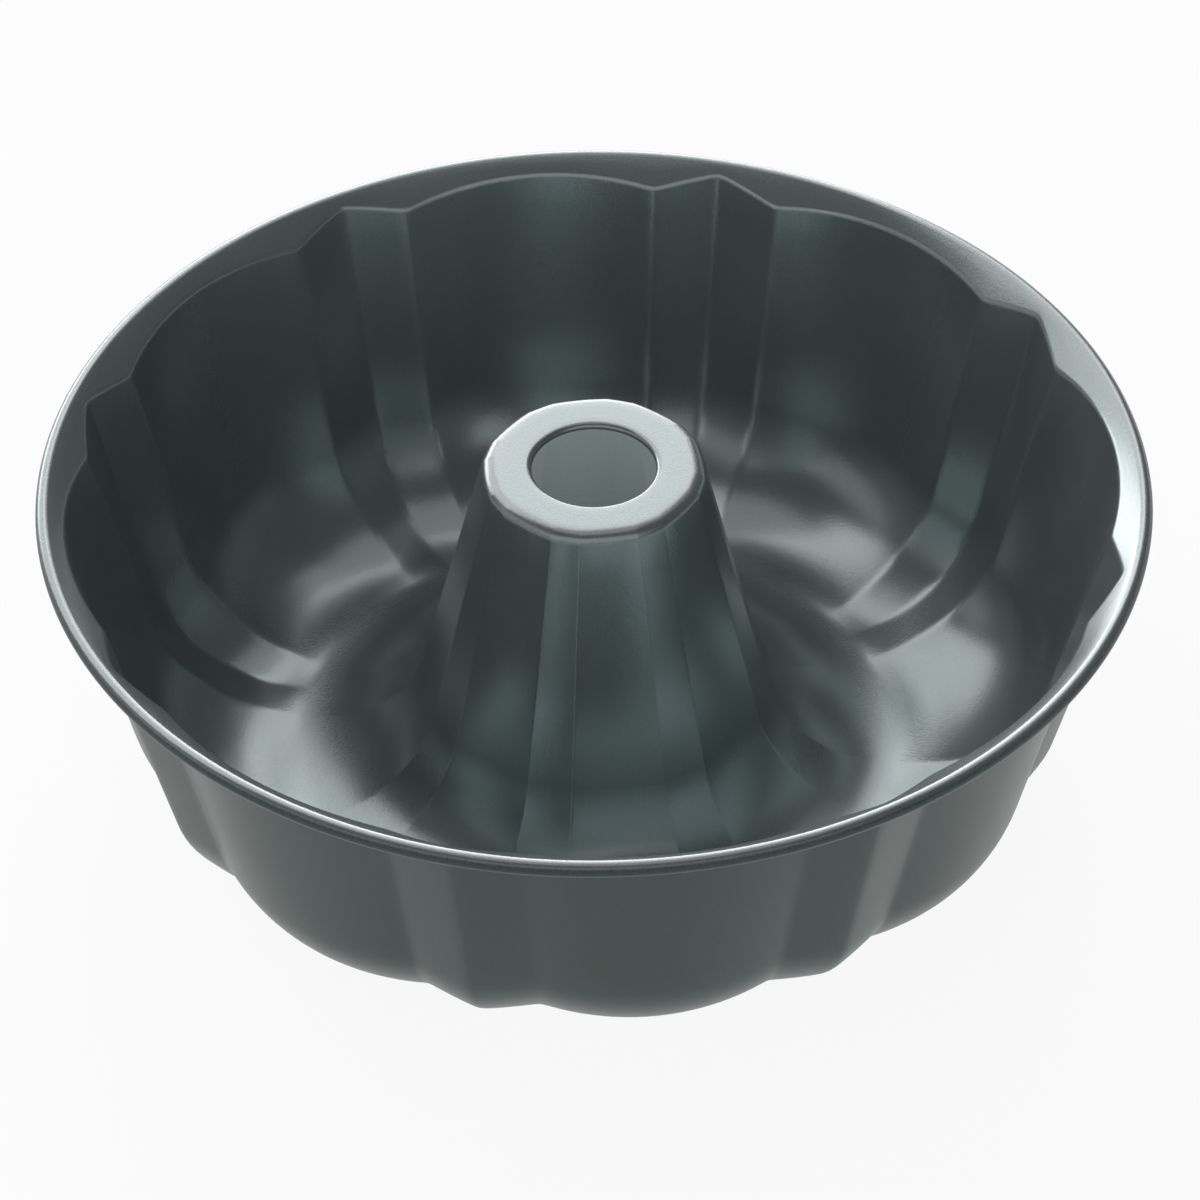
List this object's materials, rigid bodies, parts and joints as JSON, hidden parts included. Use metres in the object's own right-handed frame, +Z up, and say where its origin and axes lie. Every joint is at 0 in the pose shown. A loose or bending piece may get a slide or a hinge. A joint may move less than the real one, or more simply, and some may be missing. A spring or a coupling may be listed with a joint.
{
  "type": "fluted tube pan",
  "caption": "Round fluted baking pan with a hollow tapered tube in the middle and a rolled wire rim, for ring cakes.",
  "frame": {"origin": "on the pan's axis, in the plane that it stands on", "axes": "+Z up along the tube's axis, +X and +Y through the crowns of wide lobes"},
  "size_m": [0.26, 0.26, 0.0882],
  "materials": {
    "coated_sheet": "dark grey-green satin non-stick coating on steel sheet",
    "wire": "drawn steel wire"
  },
  "bodies": {
    "root": {"pan_shell": "coated_sheet", "rim_wire": "wire"}
  },
  "joints": []
}
